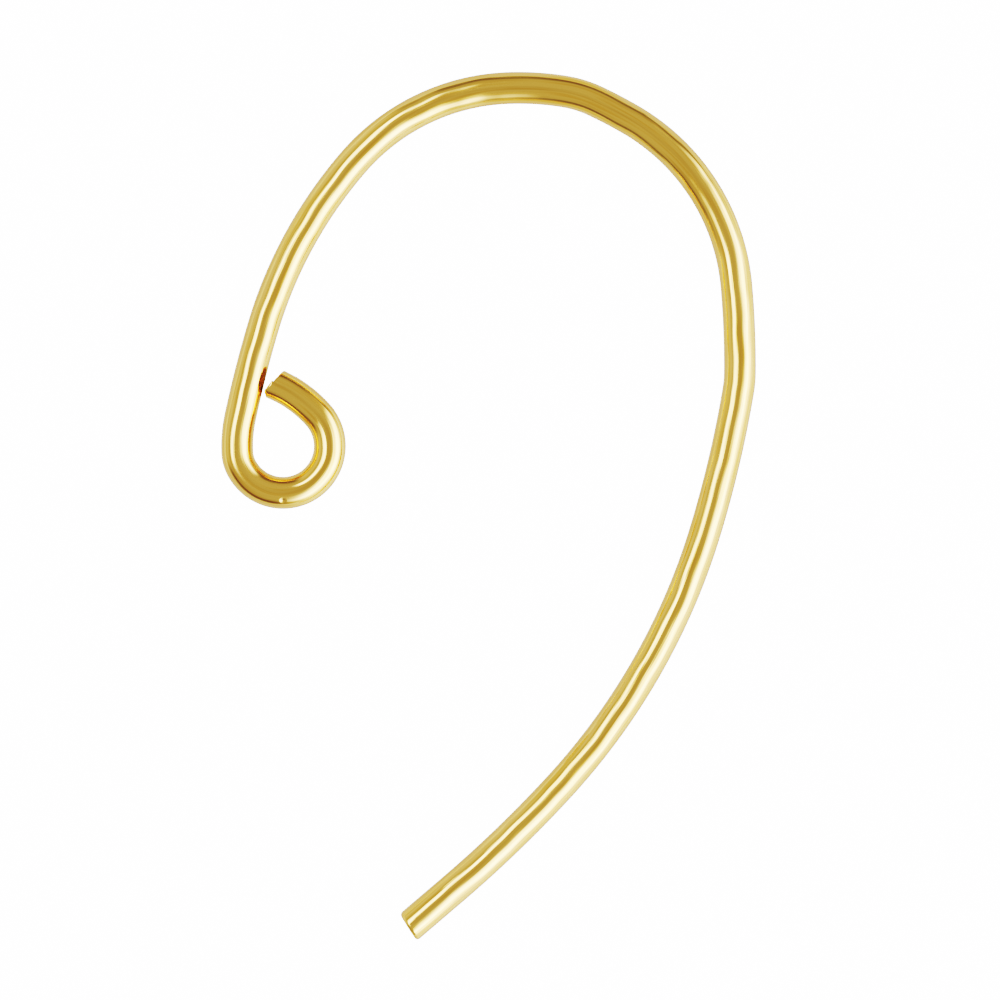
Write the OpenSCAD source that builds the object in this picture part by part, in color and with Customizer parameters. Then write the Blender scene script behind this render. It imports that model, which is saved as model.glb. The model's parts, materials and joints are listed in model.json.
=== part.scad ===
// Ear wire for a drop earring: one length of round wire, bent flat and left open.
// From the tail, which goes through the ear, the wire rises along the leg, turns over the crown,
// comes down the shank in front and closes into the eye, which carries the drop.
// It lies on its side as on a table. The crown is towards +Y and the leg towards +X.
// The origin is under the middle of its outline.

/* [Wire] */
// Diameter of the round wire
wire_d = 0.71; // [0.5:0.01:1]

/* [Hook] */
// Straight stretch at the end of the tail
tail_len = 1.35; // [0.8:0.05:3]
// Slope of the tail against the X axis, in degrees
tail_slope = 40.5; // [30:0.5:50]
// Bend radius of the leg, to the wire's centre
leg_r = 14.5; // [12:0.5:18]
// Bend radius of the crown, to the wire's centre
crown_r = 4.7; // [4:0.1:6]
// Bend radius of the shank, to the wire's centre
shank_r = 9.8; // [8:0.1:13]

/* [Eye] */
// Inside diameter of the eye
eye_d = 1.35; // [1:0.05:2]
// Gap between the cut end of the eye and the shank
eye_gap = 0.05; // [0.05:0.05:0.3]

/* [Cut ends] */
// Lean of the tail's cut away from square, in degrees
tail_cut = 8; // [0:1:20]
// Lean of the eye's cut away from square, in degrees
eye_cut = 16; // [0:1:20]

/* [Hidden] */
$fn = 64;

wire_r = wire_d / 2;
// Bend radius of the eye, to the wire's centre
eye_r = eye_d / 2 + wire_r;
// Radius of the last bend, which straightens the wire towards its cut end
eye_end_r = 2.65 * eye_r;

// Columns of the table of bends
RADIUS = 0;
TURN = 1;
// Bends in their order from the tail, all to the same side: the radius to the wire's centre,
// as a share of a size above, and how far the wire turns, in degrees.
// The eye's last bend comes after them, and its turn follows from the gap.
BENDS = [
    [1.85 * leg_r, 7],      // lower leg
    [1.00 * leg_r, 25.5],   // belly of the leg
    [1.70 * leg_r, 7.5],    // upper leg
    [0.50 * crown_r, 9],    // kink where the leg ends
    [4.25 * crown_r, 5.5],  // rise to the crown
    [1.00 * crown_r, 55],   // back of the crown
    [2.30 * crown_r, 4.5],  // flatter stretch
    [0.55 * crown_r, 16.5], // kink beside the top
    [1.35 * crown_r, 11.5], // top
    [1.00 * crown_r, 46.5], // front of the crown
    [1.00 * shank_r, 24.5], // shoulder of the shank
    [2.65 * shank_r, 4.5],  // foot of the shank
    [2.95 * eye_r, 14.5],   // way into the eye
    [0.80 * eye_r, 26],     // side of the eye
    [1.00 * eye_r, 193.5]   // round of the eye
];
// The eye's last bend, and the bend that its cut end faces, four before it
EYE_END = len(BENDS);
SHANK_FOOT = EYE_END - 4;

// Radii and turns hold few decimals, so that the end of each bend meets the next one exactly
function rounded(x, steps) = round(x * steps) / steps;
RADII = [for (i = [0 : EYE_END]) rounded(i < EYE_END ? BENDS[i][RADIUS] : eye_end_r, 10000)];

// Way along the wire at a heading, and the way square to it, out of the bend
function along(heading) = [cos(heading), sin(heading)];
function outward(heading) = [sin(heading), -cos(heading)];

// Heading of the wire where each bend starts, with the straight tail along the X axis
HEADINGS = [
    for (i = 0, h = 0; i <= EYE_END; h = h + (i < EYE_END ? BENDS[i][TURN] : 0), i = i + 1) h
];
// Centre of each bend, with the start of the first bend at the origin
CENTRES = [
    for (i = 0, c = [0, RADII[0]];
         i <= EYE_END;
         c = i < EYE_END ? c + (RADII[i] - RADII[i + 1]) * outward(HEADINGS[i + 1]) : c, i = i + 1) c
];

// The inner corner of the eye's cut end runs on a circle about the last bend's centre.
// The end is where that circle comes within the gap of the shank's inner side.
corner_r = RADII[EYE_END] - wire_r;
reach_r = RADII[SHANK_FOOT] - wire_r - eye_gap;
span = CENTRES[EYE_END] - CENTRES[SHANK_FOOT];
span_heading = atan2(span.y, span.x) + 90;
meeting = acos((reach_r ^ 2 - norm(span) ^ 2 - corner_r ^ 2) / (2 * corner_r * norm(span)));
function turn_to(heading) = (heading - HEADINGS[EYE_END] + 720) % 360;
end_turn = rounded(min(turn_to(span_heading + meeting), turn_to(span_heading - meeting)), 100);

TURNS = [for (i = [0 : EYE_END]) i < EYE_END ? BENDS[i][TURN] : end_turn];

// How far the outline reaches from the first bend's start in one direction, with the tail on its slope:
// out to a bend that passes that direction, or to the outer corner of the tail's cut
tail_corner = -tail_len * along(0) + wire_r * outward(0);
function outline(direction) = max([
    for (i = [0 : EYE_END]) for (whole = [0 : 360 : 720])
        let (h = direction + 90 - tail_slope + whole)
        if (h >= HEADINGS[i] && h <= HEADINGS[i] + TURNS[i])
            CENTRES[i] * outward(h) + RADII[i] + wire_r,
    tail_corner * outward(direction + 90 - tail_slope)
]);
middle = [outline(0) - outline(180), outline(90) - outline(270)] / 2;

// Half the side of a block that cuts an end off
block = 2 * wire_d;

// Moves by whole thousandths first and then by the small rest, which keeps every digit of the rest
module exactly_at(place) {
    coarse = [for (p = place) rounded(p, 1000)];
    translate(coarse) translate(place - coarse) children();
}

// One bend of the wire
module bend(i) {
    exactly_at(CENTRES[i])
        rotate_extrude(start = HEADINGS[i] - 90, angle = TURNS[i])
            translate([RADII[i], 0])
                circle(r = wire_r);
}

// The straight tail, cut through its outer corner
module tail() {
    difference() {
        rotate([0, -90, 0])
            cylinder(r = wire_r, h = tail_len);
        translate(tail_corner)
            rotate(-tail_cut)
                translate([-block, 0, 0])
                    cube(2 * block, center = true);
    }
}

// The eye's last bend, cut through its inner corner
module eye_end() {
    heading = HEADINGS[EYE_END] + TURNS[EYE_END];
    difference() {
        bend(EYE_END);
        translate(CENTRES[EYE_END] + corner_r * outward(heading))
            rotate(heading - eye_cut)
                translate([block, 0, 0])
                    cube(2 * block, center = true);
    }
}

module ear_wire() {
    color("goldenrod")
        translate([-middle.x, -middle.y, wire_r])
            rotate(tail_slope) {
                tail();
                for (i = [0 : EYE_END - 1]) bend(i);
                eye_end();
            }
}

ear_wire();
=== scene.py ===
# %% [markdown]
# # An ear wire in Blender
# An ear wire is one length of round gold wire, bent flat: a straight tail that goes through the ear,
# a long leg, a round crown, a shank that comes down in front, and a small open eye for the drop.
# The CAD part is already packed. It is loaded first and never changed, and what follows adds the looks.

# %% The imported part
import json
import math

import bpy
import bmesh
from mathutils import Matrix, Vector

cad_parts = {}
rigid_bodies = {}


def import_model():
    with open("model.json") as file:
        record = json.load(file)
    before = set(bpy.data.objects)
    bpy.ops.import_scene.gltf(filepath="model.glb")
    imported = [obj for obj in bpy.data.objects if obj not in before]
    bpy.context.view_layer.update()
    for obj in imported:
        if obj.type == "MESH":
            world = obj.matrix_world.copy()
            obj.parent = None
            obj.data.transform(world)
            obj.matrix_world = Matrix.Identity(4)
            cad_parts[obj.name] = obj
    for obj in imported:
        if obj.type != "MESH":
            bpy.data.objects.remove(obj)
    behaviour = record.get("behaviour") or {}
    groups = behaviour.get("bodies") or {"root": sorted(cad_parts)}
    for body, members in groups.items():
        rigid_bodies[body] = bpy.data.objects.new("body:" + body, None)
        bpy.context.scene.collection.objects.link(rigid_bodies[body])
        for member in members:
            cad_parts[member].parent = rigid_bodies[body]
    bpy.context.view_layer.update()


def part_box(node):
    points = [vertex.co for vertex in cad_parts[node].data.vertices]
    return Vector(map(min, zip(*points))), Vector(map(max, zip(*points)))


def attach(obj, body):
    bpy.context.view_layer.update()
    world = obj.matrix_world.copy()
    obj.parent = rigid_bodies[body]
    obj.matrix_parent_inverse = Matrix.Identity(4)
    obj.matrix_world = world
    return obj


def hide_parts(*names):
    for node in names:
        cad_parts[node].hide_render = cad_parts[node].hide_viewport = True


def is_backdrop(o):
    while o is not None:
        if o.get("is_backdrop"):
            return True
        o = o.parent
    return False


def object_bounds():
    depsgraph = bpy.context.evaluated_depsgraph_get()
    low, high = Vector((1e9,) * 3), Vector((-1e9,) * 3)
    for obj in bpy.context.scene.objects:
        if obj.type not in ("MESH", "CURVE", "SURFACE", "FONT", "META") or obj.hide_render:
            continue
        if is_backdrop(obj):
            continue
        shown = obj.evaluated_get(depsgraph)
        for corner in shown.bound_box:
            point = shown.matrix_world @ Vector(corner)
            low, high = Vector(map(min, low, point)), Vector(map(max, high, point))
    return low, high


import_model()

# %% [markdown]
# ## Sizes
# All of Blender's lengths here are metres, and a jeweller's are millimetres, so each size is written in
# millimetres and multiplied once. The bends are the same short list as in the CAD source: a radius to
# the wire's centre, which is a share of a named size, and how far the wire turns, in degrees.

# %% Sizes of the wire
MM = 0.001
WIRE_R = 0.71 * MM / 2
TAIL_LEN = 1.35 * MM
TAIL_SLOPE = 40.5
LEG_R = 14.5 * MM
CROWN_R = 4.7 * MM
SHANK_R = 9.8 * MM
EYE_R = 1.35 * MM / 2 + WIRE_R
EYE_END_R = 2.65 * EYE_R
EYE_GAP = 0.05 * MM

BENDS = [
    (1.85 * LEG_R, 7),       # lower leg
    (1.00 * LEG_R, 25.5),    # belly of the leg
    (1.70 * LEG_R, 7.5),     # upper leg
    (0.50 * CROWN_R, 9),     # kink where the leg ends
    (4.25 * CROWN_R, 5.5),   # rise to the crown
    (1.00 * CROWN_R, 55),    # back of the crown
    (2.30 * CROWN_R, 4.5),   # flatter stretch
    (0.55 * CROWN_R, 16.5),  # kink beside the top
    (1.35 * CROWN_R, 11.5),  # top
    (1.00 * CROWN_R, 46.5),  # front of the crown
    (1.00 * SHANK_R, 24.5),  # shoulder of the shank
    (2.65 * SHANK_R, 4.5),   # foot of the shank
    (2.95 * EYE_R, 14.5),    # way into the eye
    (0.80 * EYE_R, 26),      # side of the eye
    (1.00 * EYE_R, 193.5),   # round of the eye
]
SHANK_FOOT = len(BENDS) - 4
print(len(BENDS), "bends, and one more closes the eye")

# %% [markdown]
# ## The straight tail
# The real wire is drawn through a plate, cut off, and bent round pins and plier jaws. A curve with a
# bevel could give a wire too, but its bends would be guessed from handles. Here the wire is made as it
# is at the bench. It starts as a flat round face, which is the end of the wire, and Extrude draws the
# straight tail out of it.

# %% A round face, drawn out
SIDES = 64
UP = Vector((0, 0, 1))


def along(heading):
    """The way along the wire at a heading, in degrees from the X axis."""
    return Vector((math.cos(math.radians(heading)), math.sin(math.radians(heading)), 0))


def inward(heading):
    """The way from the wire to the middle of its bend."""
    return along(heading + 90)


for thing in bpy.context.selected_objects:
    thing.select_set(False)
bpy.ops.mesh.primitive_circle_add(
    vertices=SIDES, radius=WIRE_R, fill_type="NGON",
    rotation=(0, math.radians(90), math.radians(TAIL_SLOPE)),
)
wire = bpy.context.active_object
wire.name = "bent_gold_wire"
bpy.ops.object.transform_apply(location=True, rotation=True, scale=True)
bpy.ops.object.mode_set(mode="EDIT")
bpy.ops.mesh.select_all(action="SELECT")

TAIL_STEPS = 8
for step in range(TAIL_STEPS):
    bpy.ops.mesh.extrude_region_move(
        TRANSFORM_OT_translate={"value": along(TAIL_SLOPE) * TAIL_LEN / TAIL_STEPS}
    )
print("a tail of", round(TAIL_LEN / MM, 2), "mm with", SIDES, "sides")

# %% [markdown]
# ## The bends
# Spin turns the selected face round a point and leaves wall behind it, just as a pin bends a wire. The
# end face stays selected, so the next bend goes on from it. Each bend starts the way the last one
# ended, which is why a wire has no corners: only the middle of the bend moves, in or out. Spin turns
# clockwise about an axis that points at the reader, so here the axis points down.

# %% Every bend up to the eye's last one
LONGEST_STEP = 0.12 * MM
WIDEST_STEP = 3


def bend(radius, turn, start, heading):
    """Bend the wire on from its end face, and give the middle of the bend and its new end."""
    middle = start + radius * inward(heading)
    steps = math.ceil(max(radius * math.radians(turn) / LONGEST_STEP, turn / WIDEST_STEP))
    bpy.ops.mesh.spin(steps=steps, angle=math.radians(turn), center=middle, axis=-UP)
    return middle, middle - radius * inward(heading + turn)


bent = []
end = along(TAIL_SLOPE) * TAIL_LEN
heading = TAIL_SLOPE
for radius, turn in BENDS:
    middle, end = bend(radius, turn, end, heading)
    bent.append((middle, radius, heading, turn))
    heading += turn
print("the wire has turned", heading - TAIL_SLOPE, "degrees")

# %% [markdown]
# The eye's last bend is opened a little, and it goes on until the inner corner of the end face comes
# near the shank. That corner runs on a circle, and so does the shank's inner side, so the turn is where
# two circles meet. It is worked out here by the rule of cosines, as in the CAD source. A spare bit of
# straight wire is drawn out past the end, for the cutters. They will leave a little of it, and the
# list of bends counts that to the last bend.

# %% The bend that closes the eye
SPARE = 0.2 * MM
PAST_END = 0.04 * MM
corner_r = EYE_END_R - WIRE_R
shank_middle, shank_r = bent[SHANK_FOOT][:2]
reach_r = shank_r - WIRE_R - EYE_GAP
eye_middle = end + EYE_END_R * inward(heading)
span = eye_middle - shank_middle
meeting = math.degrees(math.acos(
    (reach_r ** 2 - span.length ** 2 - corner_r ** 2) / (2 * corner_r * span.length)
))
span_heading = math.degrees(math.atan2(span.y, span.x)) + 90
end_turn = min((span_heading + side * meeting - heading) % 360 for side in (-1, 1))
eye_middle, end = bend(EYE_END_R, end_turn, end, heading)
bent.append((eye_middle, EYE_END_R, heading, end_turn + math.degrees(PAST_END / EYE_END_R)))
heading += end_turn
bpy.ops.mesh.extrude_region_move(TRANSFORM_OT_translate={"value": SPARE * along(heading)})
length = TAIL_LEN + sum(radius * math.radians(turn) for _, radius, _, turn in bent) - PAST_END
print("the last bend turns", round(end_turn, 2), "degrees, and the wire is",
      round(length / MM, 2), "mm long")

# %% [markdown]
# ## Cutting the ends
# Side cutters leave a flat end that leans a little. On the eye's end the two blades didn't quite meet:
# the outer half of the face is set back, and the inner half stands proud where the metal gave way.
# Each cut is kept as one thing with its plane, because rounding and colouring the ends needs it again.
# Bisect cuts the wire with a plane, throws the scrap away and fills the end. Bisect snaps to points
# that are nearer than its threshold, which is too wide for so thin a wire, so it is set much smaller.

# %% Both ends cut
TAIL_CUT = 8
OUTER_CUT = 22
SET_BACK = 0.08 * MM
LEDGE_ASIDE = 0.04 * MM
SNAP = 0.0001 * MM
CUT_RINGS = 4
SAME_WAY = 0.98


class Cut:
    """A cut: the middle of its end, a point in its plane, its facing, and its half of the end."""

    def __init__(self, middle, corner, facing, half=None):
        self.middle = middle
        self.corner = corner
        self.facing = facing
        self.half = half


def pick(faces=None, edges=None):
    """Select only the faces, or only the edges, for which a rule holds."""
    bpy.ops.mesh.select_mode(type="FACE" if faces else "EDGE")
    bpy.ops.mesh.select_all(action="DESELECT")
    mesh = bmesh.from_edit_mesh(wire.data)
    parts = mesh.faces if faces else mesh.edges
    chosen = [part for part in parts if (faces or edges)(part)]
    for part in chosen:
        part.select_set(True)
    mesh.select_flush_mode()
    bmesh.update_edit_mesh(wire.data)
    return len(chosen)


def end_face(place, facing):
    """The rule for a face that faces one way and lies at one end of the wire."""
    return lambda face: (face.normal.dot(facing) > SAME_WAY
                         and (face.calc_center_median() - place).length < WIRE_R)


def cut_off(cut):
    """Cut the wire off with a plane, from the selected end face up to some rings further on."""
    for _ in range(CUT_RINGS):
        bpy.ops.mesh.select_more()
    bpy.ops.mesh.bisect(plane_co=cut.corner, plane_no=cut.facing, threshold=SNAP,
                        clear_outer=True, use_fill=True)


tail = Cut(Vector(), -WIRE_R * inward(TAIL_SLOPE), -along(TAIL_SLOPE - TAIL_CUT))
pick(faces=end_face(Vector(), -along(TAIL_SLOPE)))
cut_off(tail)

ledge = end - SET_BACK * along(heading) - LEDGE_ASIDE * inward(heading)
outer = Cut(ledge, ledge, along(heading - OUTER_CUT), -inward(heading))
pick(faces=end_face(end + SPARE * along(heading), along(heading)))
cut_off(outer)
mesh = bmesh.from_edit_mesh(wire.data)
print(len(mesh.verts), "points,", sum(not edge.is_manifold for edge in mesh.edges), "open edges")

# %% [markdown]
# For the proud half, the eye's end face is divided by a line that stands straight up. The inner half is
# extruded, and then cut off at its own lean, as the second blade did it. That leaves a thin sharp tip
# on the inner side, which has broken off on the real wire, so a third cut takes it away.

# %% The proud half of the eye's end
INNER_CUT = 17
INNER_AHEAD = 0.075 * MM
TIP_CUT = 35
TIP_AHEAD = 0.037 * MM
TIP_ASIDE = 0.23 * MM
PROUD = 0.3 * MM

pick(faces=end_face(ledge, outer.facing))
bpy.ops.mesh.bisect(plane_co=ledge, plane_no=inward(heading), threshold=SNAP)
count = pick(faces=lambda face: end_face(ledge, outer.facing)(face)
             and (face.calc_center_median() - ledge).dot(inward(heading)) > 0)
bpy.ops.mesh.extrude_region_move(TRANSFORM_OT_translate={"value": PROUD * along(heading)})
inner = Cut(ledge, end + WIRE_R * inward(heading) + INNER_AHEAD * along(heading),
            along(heading - INNER_CUT), inward(heading))
cut_off(inner)
tip = Cut(ledge, end + TIP_ASIDE * inward(heading) + TIP_AHEAD * along(heading),
          along(heading + TIP_CUT), inward(heading))
pick(faces=end_face(ledge, inner.facing))
cut_off(tip)
print(count, "half pushed out and cut again, and its tip broken off")

# %% [markdown]
# The wire was bent from where it started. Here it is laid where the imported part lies, by the middles
# of the two boxes. Its ends are still sharp, so both boxes measure the same thing. The middles of the
# bends and the planes of the cuts go with it.

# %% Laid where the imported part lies
node_low, node_high = (Vector(corner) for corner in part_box("ear_wire"))
mesh = bmesh.from_edit_mesh(wire.data)
low = Vector([min(point.co[axis] for point in mesh.verts) for axis in range(3)])
high = Vector([max(point.co[axis] for point in mesh.verts) for axis in range(3)])
shift = (node_low + node_high - low - high) / 2
bpy.ops.mesh.select_all(action="SELECT")
bpy.ops.transform.translate(value=shift)
tail_start = shift
bent = [(middle + shift, radius, heading, turn) for middle, radius, heading, turn in bent]
cuts = (tail, outer, inner, tip)
for cut in cuts:
    cut.middle = cut.middle + shift
    cut.corner = cut.corner + shift
print("moved by", [round(step / MM, 3) for step in shift], "mm; box sides differ by",
      [round((a - b) / MM, 4) for a, b in zip(high - low, node_high - node_low)], "mm")

# %% [markdown]
# The cutter's edges are blunt, and tumbling in the polishing drum has rounded what was left. So the
# rims are bevelled. An edge of a rim lies between a cut face and a face that stands nearly square to
# it. Rings of the wire that lie too near a cut would stop the bevel, so they are dissolved first. The
# shank passes close by the eye's end, so each rule asks first whether an edge is on the end at all.

# %% Rings cleared away
RING_REACH = 1.6 * WIRE_R
RING_CLEAR = 0.2 * MM
FLAT = 0.9
WALL = 0.9999
ACROSS = 0.5

bounds = {tail: (tail,), outer: (inner, tip), inner: (inner, tip), tip: (inner, tip)}


def on_end(point, cut):
    """Whether a point is near a cut and behind the planes that bound its end."""
    return ((point.co - cut.middle).length < RING_REACH
            and all((point.co - bound.corner).dot(bound.facing) < SNAP for bound in bounds[cut]))


def on_ring(edge, cut):
    """The rule for an edge across the round side of the wire, close to a cut."""
    if not all(on_end(point, cut) for point in edge.verts):
        return False
    for face in edge.link_faces:
        if any(abs(face.normal.dot(flat.facing)) > FLAT for flat in (cut, *bounds[cut])):
            return False
        if abs(face.normal.dot(inward(heading))) > WALL:
            return False
    way = (edge.verts[1].co - edge.verts[0].co).normalized()
    depth = max(abs((point.co - cut.corner).dot(cut.facing)) for point in edge.verts)
    return abs(way.dot(cut.facing)) < ACROSS and depth < RING_CLEAR


count = pick(edges=lambda edge: any(on_ring(edge, cut) for cut in cuts))
bpy.ops.mesh.dissolve_edges(use_verts=True)
print(count, "edges of rings dissolved beside the cuts")

# %% [markdown]
# Now the rims. The ridge between the proud half and its broken tip is no rim: it turns less than a rim
# does, and it stays sharp.

# %% Rounded rims
TAIL_RIM = 0.085 * MM
OUTER_RIM = 0.045 * MM
INNER_RIM = 0.05 * MM
RIM_SEGMENTS = 4
RIM_REACH = 1.4 * WIRE_R
RIM_TURN = 0.6
LEDGE_CLEAR = 0.01 * MM


def on_rim(edge, cut):
    """The rule for an edge between a cut face and the round side of the wire."""
    if any((point.co - cut.middle).length > RIM_REACH for point in edge.verts):
        return False
    if cut.half and any((point.co - cut.middle).dot(cut.half) < LEDGE_CLEAR
                        for point in edge.verts):
        return False
    ways = sorted(face.normal.dot(cut.facing) for face in edge.link_faces)
    return ways[1] > SAME_WAY and ways[0] < RIM_TURN


for round_by, rim_of in ((TAIL_RIM, (tail,)), (OUTER_RIM, (outer,)), (INNER_RIM, (inner, tip))):
    count = pick(edges=lambda edge: any(on_rim(edge, cut) for cut in rim_of))
    bpy.ops.mesh.bevel(offset=round_by, segments=RIM_SEGMENTS, affect="EDGES", clamp_overlap=False)
    print("rim of", count, "edges, rounded by", round_by / MM, "mm")

# %% [markdown]
# Extruding, spinning and cutting can leave two points in one place. They are merged first, and then all
# faces are turned outwards, because the merging can change what a face borders on. The round side is
# shaded smooth and the cuts stay crisp.

# %% Doubles merged, faces outwards
DOUBLES = 0.0015 * MM
CREASE = 35
bpy.ops.mesh.select_mode(type="VERT")
bpy.ops.mesh.select_all(action="SELECT")
bpy.ops.mesh.remove_doubles(threshold=DOUBLES)
bpy.ops.mesh.normals_make_consistent(inside=False)
mesh = bmesh.from_edit_mesh(wire.data)
print(len(mesh.faces), "faces,", sum(not edge.is_manifold for edge in mesh.edges), "open edges,",
      "volume", round(mesh.calc_volume() / MM ** 3, 3), "mm3")
bpy.ops.object.mode_set(mode="OBJECT")
bpy.ops.object.shade_smooth_by_angle(angle=math.radians(CREASE))

# %% [markdown]
# ## A memory of the straight wire
# The marks of the drawing plate run along the wire, round every bend. A pattern on Object coordinates
# would cut straight through the bends instead. So each point stores where it was while the wire was
# straight: how far along, how far out, and how high. The material reads this attribute by its name.
# The eye's end nearly touches the shank, so lying outside of a bend's turn counts heavily.

# %% Straight place of every point
OUTSIDE = 10


def straight_place(point):
    """Where a point of the bent wire was before the bending."""
    run = (point - tail_start).dot(along(TAIL_SLOPE))
    if run < TAIL_LEN and (point - tail_start).length < TAIL_LEN + WIRE_R:
        return Vector((run, (point - tail_start).dot(inward(TAIL_SLOPE)), point.z))
    best = None
    before = TAIL_LEN
    for middle, radius, start, turn in bent:
        arm = point - middle
        arm.z = 0
        angle = (math.degrees(math.atan2(arm.y, arm.x)) + 90 - start) % 360
        if angle > 180 + turn / 2:
            angle -= 360
        off = OUTSIDE * max(0, -angle, angle - turn) + abs(arm.length - radius) / WIRE_R
        if best is None or off < best[0]:
            run = before + radius * math.radians(angle)
            best = (off, Vector((run, radius - arm.length, point.z)))
        before += radius * math.radians(turn)
    return best[1]


straight = wire.data.attributes.new("straight", "FLOAT_VECTOR", "POINT")
for point, place in zip(wire.data.vertices, straight.data):
    place.vector = straight_place(point.co)
print("straight wire from", round(min(p.vector.x for p in straight.data) / MM, 2), "to",
      round(max(p.vector.x for p in straight.data) / MM, 2), "mm")

# %% [markdown]
# ## Sums on sockets
# A material is a sum over the surface, and its nodes are the terms. To write it as a sum, a small class
# wraps one output socket. Adding or multiplying two of them puts in a Math node and gives its output.
# Every other node comes from one method.

# %% A socket that can be added and multiplied
class Value:
    def __init__(self, tree, socket):
        self.tree = tree
        self.socket = socket

    @classmethod
    def node(cls, tree, kind, settings=None, inputs=None, output=0):
        """Add a node with its settings and the values or links of its sockets."""
        made = tree.nodes.new(kind)
        for name, setting in (settings or {}).items():
            setattr(made, name, setting)
        for name, value in (inputs or {}).items():
            if isinstance(value, cls):
                tree.links.new(value.socket, made.inputs[name])
            else:
                made.inputs[name].default_value = value
        return cls(tree, made.outputs[output])

    def math(self, operation, *others):
        inputs = dict(enumerate((self,) + others))
        return Value.node(self.tree, "ShaderNodeMath", {"operation": operation}, inputs)

    def reflected(self, operation, other):
        settings = {"operation": operation}
        return Value.node(self.tree, "ShaderNodeMath", settings, {0: other, 1: self})

    def __add__(self, other):
        return self.math("ADD", other)

    def __radd__(self, other):
        return self.math("ADD", other)

    def __sub__(self, other):
        return self.math("SUBTRACT", other)

    def __rsub__(self, other):
        return self.reflected("SUBTRACT", other)

    def __mul__(self, other):
        return self.math("MULTIPLY", other)

    def __rmul__(self, other):
        return self.math("MULTIPLY", other)

    def step(self, start, stop, low=0.0, high=1.0):
        """Go from low to high while the value goes from start to stop, easing in and out."""
        return Value.node(
            self.tree, "ShaderNodeMapRange", {"interpolation_type": "SMOOTHSTEP"},
            {"Value": self, "From Min": start, "From Max": stop, "To Min": low, "To Max": high},
        )


def new_material(name):
    """A material with nothing in it but its output node."""
    material = bpy.data.materials.new(name)
    material.use_nodes = True
    material.node_tree.nodes.clear()
    return material, material.node_tree


def to_output(tree, shader, kind="ShaderNodeOutputMaterial"):
    """Send a shader to the output node."""
    output = tree.nodes.new(kind)
    tree.links.new(shader.socket, output.inputs["Surface"])


print("sums on sockets are ready")

# %% [markdown]
# ## Gold
# Polished gold has almost no colour of its own to scatter: it is a yellow mirror, so it is a metal with
# low roughness. What makes it real is its unevenness. The drawing plate leaves fine lines along the
# wire, and a little of its soap stays in them, so they are deeper in colour. The pliers leave the
# round of the wire leaning a little to one side and then the other, which makes all reflections
# wander together.

# %% Noise along the wire
def noise_along(tree, place, length, width, detail):
    """Soft random marks of a length along the wire and a width across it, from 0 to 1."""
    scaled = Value.node(
        tree, "ShaderNodeVectorMath", {"operation": "MULTIPLY"},
        {0: place, 1: (1 / length, 1 / width, 1 / width)}, output="Vector",
    )
    return Value.node(tree, "ShaderNodeTexNoise", None,
                      {"Vector": scaled, "Scale": 1.0, "Detail": detail, "Roughness": 0.5})


def parts_of(tree, vector):
    """The three numbers of a vector."""
    split = Value.node(tree, "ShaderNodeSeparateXYZ", None, {"Vector": vector}).socket.node
    return [Value(tree, split.outputs[axis]) for axis in "XYZ"]


# %% [markdown]
# The lines are noise that is stretched along the straight wire. The leaning is a slower noise. It is a
# metre wide, so it changes only along the wire, and it is multiplied by how far out a point lies, so
# the surface tips over as a whole. The flats that the jaws left are a third noise, wider and softer
# than the lines.

# %% Drawn and polished gold
GOLD = (0.93, 0.59, 0.225, 1)
DEEP_GOLD = (0.82, 0.47, 0.14, 1)
LINE_SPACING = 0.06 * MM
LINE_LENGTH = 2 * MM
LINE_HEIGHT = 0.0035 * MM
LEAN_LENGTH = 0.9 * MM
LEAN = 0.28
FLATS_LENGTH = 1.6 * MM
FLATS_WIDTH = 0.5 * MM
FLATS_HEIGHT = 0.012 * MM
WHOLE_WIDTH = 1

gold, tree = new_material("drawn_gold")
on_wire = Value.node(tree, "ShaderNodeAttribute", {"attribute_name": "straight"}, output="Vector")
offset = parts_of(tree, on_wire)[1]
lines = noise_along(tree, on_wire, LINE_LENGTH, LINE_SPACING, detail=2.0)
lean = noise_along(tree, on_wire, LEAN_LENGTH, WHOLE_WIDTH, detail=0.5) - 0.5
flats = noise_along(tree, on_wire, FLATS_LENGTH, FLATS_WIDTH, detail=1.0)
height = lines * LINE_HEIGHT + lean * LEAN * offset + flats * FLATS_HEIGHT

# %% [markdown]
# The photograph shows one nick, low on the outside of the eye. It is a tiny round dent in the height,
# at the place that it had on the straight wire. A Mix node has a socket A and a socket B for each kind
# of value, so the ones for colours are called by their numbers.

# %% A nick, and the gold put together
ROUGHNESS = 0.09
SMUDGED = 0.07
SMUDGE_LENGTH = 1.5 * MM
SMUDGE_WIDTH = 0.4 * MM
SOAP = 0.8
FACTOR, FIRST_COLOUR, SECOND_COLOUR, MIXED_COLOUR = 0, 6, 7, 2
NICK = Vector((-4.51, 0.13, 0)) * MM
NICK_R = 0.08 * MM
NICK_DEPTH = 0.014 * MM

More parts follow.
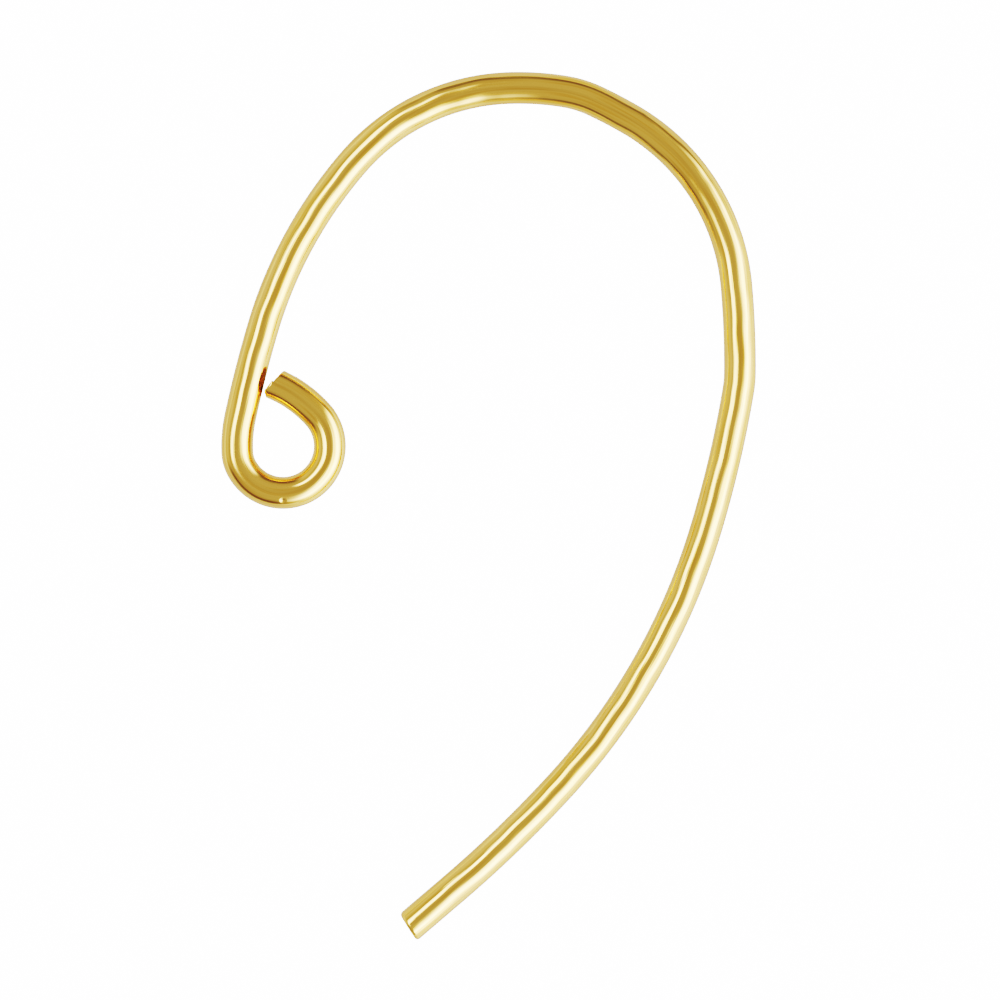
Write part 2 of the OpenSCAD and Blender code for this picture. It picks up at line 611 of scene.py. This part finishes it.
nick = straight_place(NICK)
nick.z = WIRE_R + math.sqrt(WIRE_R ** 2 - nick.y ** 2)
away = Value.node(tree, "ShaderNodeVectorMath", {"operation": "DISTANCE"},
                  {0: on_wire, 1: nick}, output="Value")
height = height - away.step(0, NICK_R, NICK_DEPTH, 0)
uneven = Value.node(tree, "ShaderNodeBump", None,
                    {"Strength": 1.0, "Distance": 1.0, "Height": height}, output="Normal")
smudges = noise_along(tree, on_wire, SMUDGE_LENGTH, SMUDGE_WIDTH, detail=3.0)
colour = Value.node(
    tree, "ShaderNodeMix", {"data_type": "RGBA"},
    {FACTOR: SOAP * lines.step(0.55, 0.3), FIRST_COLOUR: GOLD, SECOND_COLOUR: DEEP_GOLD},
    output=MIXED_COLOUR,
)
to_output(tree, Value.node(
    tree, "ShaderNodeBsdfPrincipled", None,
    {"Base Color": colour, "Metallic": 1.0,
     "Roughness": ROUGHNESS + SMUDGED * smudges.step(0.4, 0.8), "Normal": uneven},
))
wire.data.materials.clear()
wire.data.materials.append(gold)
print("gold wire with", len(tree.nodes), "nodes, and a nick", round(nick.x / MM, 2), "mm along it")

# %% [markdown]
# ## Cut gold
# The cut faces are torn metal: gold, but satin, with lines across the face where the blades
# slid. Their colour is made much darker than the wire's, as painted shade for the light that is caught
# between the torn grains and doesn't come back.
# Torn faces get a second material slot on the same mesh. Only the flat faces are torn, because the rims
# have been polished.

# %% Satin cut faces
# Torn gold, made much darker than the wire's gold as painted shade.
TORN_GOLD_WITH_PAINTED_SHADE = (0.40, 0.32, 0.18, 1)
GRAIN_LENGTH = 0.25 * MM
GRAIN_SPACING = 0.03 * MM
GRAIN_DEPTH = 0.003 * MM
TORN_SLOT = 1

cut_gold, tree = new_material("cut_gold")
place = Value.node(tree, "ShaderNodeTexCoord", output="Object")
scaled = Value.node(
    tree, "ShaderNodeVectorMath", {"operation": "MULTIPLY"},
    {0: place, 1: (1 / GRAIN_LENGTH, 1 / GRAIN_LENGTH, 1 / GRAIN_SPACING)}, output="Vector",
)
shear = Value.node(tree, "ShaderNodeTexNoise", None,
                   {"Vector": scaled, "Scale": 1.0, "Detail": 3.0, "Roughness": 0.6})
torn = Value.node(tree, "ShaderNodeBump", None,
                  {"Strength": 1.0, "Distance": 1.0, "Height": shear * GRAIN_DEPTH},
                  output="Normal")
to_output(tree, Value.node(
    tree, "ShaderNodeBsdfPrincipled", None,
    {"Base Color": TORN_GOLD_WITH_PAINTED_SHADE, "Metallic": 1.0, "Roughness": 0.3 + 0.15 * shear, "Normal": torn},
))
wire.data.materials.append(cut_gold)
cut_faces = [
    face for face in wire.data.polygons for cut in cuts
    if abs((cut.corner - face.center).dot(cut.facing)) < SNAP
    and (face.center - cut.middle).length < RIM_REACH
    and not (cut.half and (face.center - cut.middle).dot(cut.half) < 0)
]
for face in cut_faces:
    face.material_index = TORN_SLOT
print(len(cut_faces), "faces at the cuts")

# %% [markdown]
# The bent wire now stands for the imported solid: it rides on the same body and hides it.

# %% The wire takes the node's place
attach(wire, "root")
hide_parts("ear_wire")
print(wire.name, "stands for the packed solid")

# %% [markdown]
# ## Floor
# The wire lies on a plain sheet of white acrylic with a little light from below, so it casts no shadow.
# The sheet is glossy, so the sides of the wire mirror it and what it mirrors. In the picture the
# background was made whiter afterwards. Here Light Path does that: the camera sees an added glow, and
# the wire sees only the sheet itself.

# %% A plain white sheet
FLOOR_SIDE = 0.8
FLOOR_PARTS = 8
SHEET = (0.15, 0.15, 0.15, 1)
SHEET_LIGHT = 0.1
LIGHT_STRENGTH = 6.0

for thing in bpy.context.selected_objects:
    thing.select_set(False)
bpy.ops.mesh.primitive_grid_add(x_subdivisions=FLOOR_PARTS, y_subdivisions=FLOOR_PARTS,
                                size=FLOOR_SIDE)
floor = bpy.context.active_object
floor.name = "white_sheet"
sheet, tree = new_material("white_sheet")
seen = Value.node(tree, "ShaderNodeLightPath", output="Is Camera Ray")
light = SHEET_LIGHT + seen
glow = Value.node(tree, "ShaderNodeCombineXYZ", None, {"X": light, "Y": light, "Z": light})
to_output(tree, Value.node(
    tree, "ShaderNodeBsdfPrincipled", None,
    {"Base Color": SHEET, "Roughness": 0.15, "IOR": 1.49,
     "Emission Color": glow, "Emission Strength": LIGHT_STRENGTH},
))
floor.data.materials.append(sheet)
floor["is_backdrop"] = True
print("a sheet of", FLOOR_SIDE, "m")

# %% [markdown]
# ## The light tent
# A mirror-bright wire shows nothing but its surroundings, so its light is a picture of the room.
# Jewellery is photographed in a white tent with a slot in its top for the camera and a lamp outside
# each of its sides. Here the tent is the World: a brightness for each direction, worked out from the
# azimuth and from the angle away from straight up. The slot is dim, the walls are brighter where the
# lamps shine through, and a darker gap runs where the cloth ends above the table.

# %% Brightness of the tent in every direction
SLOT_LIGHT = 0.54
SLOT_RISE = 0.05
WALL_LIGHT = 0.48
LEFT_LIGHT = 0.36
RIGHT_LIGHT = 1.8
GAP = 0.22
BACKDROP = 6.9

world = bpy.data.worlds.new("light_tent")
world.use_nodes = True
tree = world.node_tree
tree.nodes.clear()
way = Value.node(tree, "ShaderNodeTexCoord", output="Generated")
way_x, way_y, way_z = parts_of(tree, way)
tilt = way_z.math("ARCCOSINE").math("DEGREES")


def turned(azimuth):
    """A direction's part ahead, towards an azimuth, and its part to the left of that."""
    east, north = math.cos(math.radians(azimuth)), math.sin(math.radians(azimuth))
    return way_x * east + way_y * north, way_y * east - way_x * north


def sector(azimuth, right, right_soft, left, left_soft):
    """1 between two edges, each given as an angle from an azimuth and half its softness."""
    ahead, beside = turned(azimuth)
    angle = beside.math("ARCTAN2", ahead).math("DEGREES")
    return (angle.step(right - right_soft, right + right_soft)
            * angle.step(left - left_soft, left + left_soft, 1.0, 0.0))


def panel(azimuth, inner, inner_full, outer_full, outer, strength):
    """A lamp's glow through the cloth, with a straight edge inside and a round one outside."""
    ahead, beside = turned(azimuth)
    lean = ahead.math("ARCTAN2", way_z).math("DEGREES")
    return strength * lean.step(inner, inner_full) * tilt.step(outer_full, outer, 1.0, 0.0)


slot = SLOT_LIGHT + SLOT_RISE * tilt.step(6, 18)
gap = GAP * tilt.step(62, 78) * tilt.step(82, 92, 1.0, 0.0)
left_wall = sector(158, right=-41, right_soft=14, left=41, left_soft=14)
right_wall = sector(-26, right=-50, right_soft=25, left=50, left_soft=25)
wall = WALL_LIGHT + LEFT_LIGHT * left_wall + RIGHT_LIGHT * right_wall - gap * (1 - left_wall)
walls = tilt.step(51, 75)
left_lamp = (panel(167, inner=15, inner_full=29, outer_full=34, outer=51, strength=4.6)
             * sector(153, right=-50, right_soft=16, left=48, left_soft=16))
right_lamp = (panel(-30, inner=13, inner_full=56, outer_full=55, outer=82, strength=6.5)
              * sector(-26, right=-51, right_soft=20, left=74, left_soft=26))
inside = slot * (1 - walls) + wall * walls + left_lamp + right_lamp
seen = Value.node(tree, "ShaderNodeLightPath", output="Is Camera Ray")
strength = inside * (1 - seen) + BACKDROP * seen
to_output(tree, Value.node(tree, "ShaderNodeBackground", None,
                           {"Color": (1, 1, 1, 1), "Strength": strength}),
          "ShaderNodeOutputWorld")
bpy.context.scene.world = world
print("light tent with", len(tree.nodes), "nodes")

# %% [markdown]
# ## Camera and exposure
# The photograph looks straight down, from far away. A long lens over the middle of the picture gives
# the same flat view.

# %% Camera straight above
PICTURE_WIDTH = 22 * MM
PICTURE_MIDDLE = Vector((0.253, 0.142, 0)) * MM
CAMERA_HEIGHT = 0.3
SENSOR = 36

camera_data = bpy.data.cameras.new("camera")
camera_data.sensor_width = SENSOR
camera_data.lens = SENSOR * CAMERA_HEIGHT / PICTURE_WIDTH
camera_data.clip_start = 0.01
camera_data.clip_end = 10
camera = bpy.data.objects.new("camera", camera_data)
camera.location = PICTURE_MIDDLE + CAMERA_HEIGHT * UP
bpy.context.scene.collection.objects.link(camera)
bpy.context.scene.camera = camera
print("lens of", round(camera_data.lens), "mm")

# %% [markdown]
# The tone curve is a film's: deep shadows are crushed and highlights roll off slowly to white. It is
# set in the view's curve, with each point given as a brightness and the tone that shows it.
# Of the view's four curves the last one is for all colours together.

# %% Tone curve
WHITE = 8
ALL_COLOURS = 3
TONES = [(0.1, 0.028), (0.2, 0.16), (0.3, 0.3), (0.5, 0.5), (0.8, 0.66), (1.3, 0.775),
         (2.1, 0.87), (3.4, 0.94), (5.5, 0.98)]

view = bpy.context.scene.view_settings
view.view_transform = "Standard"
view.use_curve_mapping = True
mapping = view.curve_mapping
mapping.white_level = (WHITE, WHITE, WHITE)
curve = mapping.curves[ALL_COLOURS]
curve.points[1].location = (1, 1)
for light, shown in TONES:
    curve.points.new(light / WHITE, shown)
mapping.update()
print("tone curve with", len(curve.points), "points")

# %% [markdown]
# ## The box of the looks
# The box of the looks, the bent wire without the sheet, is printed.

# %% The box of the looks, printed
low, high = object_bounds()
print("box of the looks, mm:", [round(1000 * value, 3) for value in (*low, *high)])
